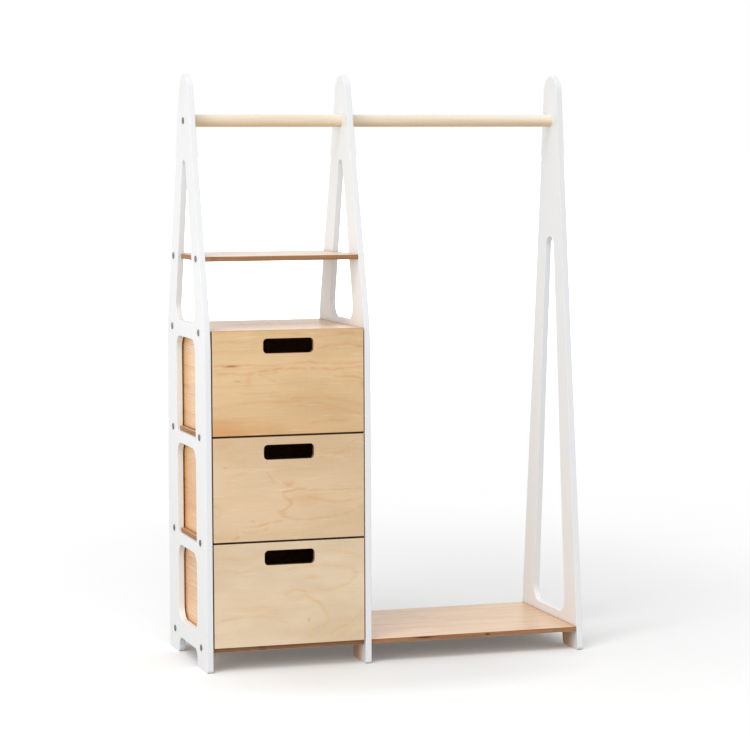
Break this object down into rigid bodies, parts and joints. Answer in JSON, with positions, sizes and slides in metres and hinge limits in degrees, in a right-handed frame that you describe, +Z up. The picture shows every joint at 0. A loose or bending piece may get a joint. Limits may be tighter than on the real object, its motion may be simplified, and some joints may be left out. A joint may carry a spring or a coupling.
{
  "type": "dress up storage unit with mirror",
  "caption": "Children's dressing-up unit: a drawer tower with finger slots and an open hanging bay between tapered white frames, with a round wooden rail and a mirror on the tower's back.",
  "frame": {"origin": "on the floor, in the middle of the footprint", "axes": "+X to the right seen from the front, +Y to the back, +Z up"},
  "size_m": [0.9714, 0.4, 1.435],
  "materials": {
    "painted_board": "white satin paint",
    "plywood": "clear satin lacquer",
    "pale_wood": "clear satin lacquer",
    "steel": "satin",
    "mirror_sheet": "polished"
  },
  "bodies": {
    "stand": {"left_frame": "painted_board", "middle_frame": "painted_board", "right_frame": "painted_board", "tower_base": "plywood", "tower_divider_lower": "plywood", "tower_divider_upper": "plywood", "tower_top": "plywood", "upper_shelf": "plywood", "base_shelf": "plywood", "back_panel": "plywood", "mirror": "mirror_sheet", "hanging_rail": "pale_wood", "left_frame_bolts": "steel", "middle_frame_bolts": "steel", "right_frame_bolts": "steel", "barrel_nuts": "steel", "link_bolts": "steel", "link_cams": "steel", "rail_inserts": "steel", "back_panel_screws": "steel", "mirror_screws": "steel"},
    "drawer_lower": {"drawer_lower_front": "plywood", "drawer_lower_side_left": "plywood", "drawer_lower_side_right": "plywood", "drawer_lower_back": "plywood", "drawer_lower_bottom": "plywood", "drawer_lower_dowels": "pale_wood", "drawer_lower_screws": "steel"},
    "drawer_middle": {"drawer_middle_front": "plywood", "drawer_middle_side_left": "plywood", "drawer_middle_side_right": "plywood", "drawer_middle_back": "plywood", "drawer_middle_bottom": "plywood", "drawer_middle_dowels": "pale_wood", "drawer_middle_screws": "steel"},
    "drawer_upper": {"drawer_upper_front": "plywood", "drawer_upper_side_left": "plywood", "drawer_upper_side_right": "plywood", "drawer_upper_back": "plywood", "drawer_upper_bottom": "plywood", "drawer_upper_dowels": "pale_wood", "drawer_upper_screws": "steel"}
  },
  "joints": [
    {"name": "drawer_lower_slide", "type": "slide", "parent": "stand", "child": "drawer_lower", "axis": [0, -1, 0], "range_m": [0, 0.3]},
    {"name": "drawer_middle_slide", "type": "slide", "parent": "stand", "child": "drawer_middle", "axis": [0, -1, 0], "range_m": [0, 0.3]},
    {"name": "drawer_upper_slide", "type": "slide", "parent": "stand", "child": "drawer_upper", "axis": [0, -1, 0], "range_m": [0, 0.3]}
  ]
}
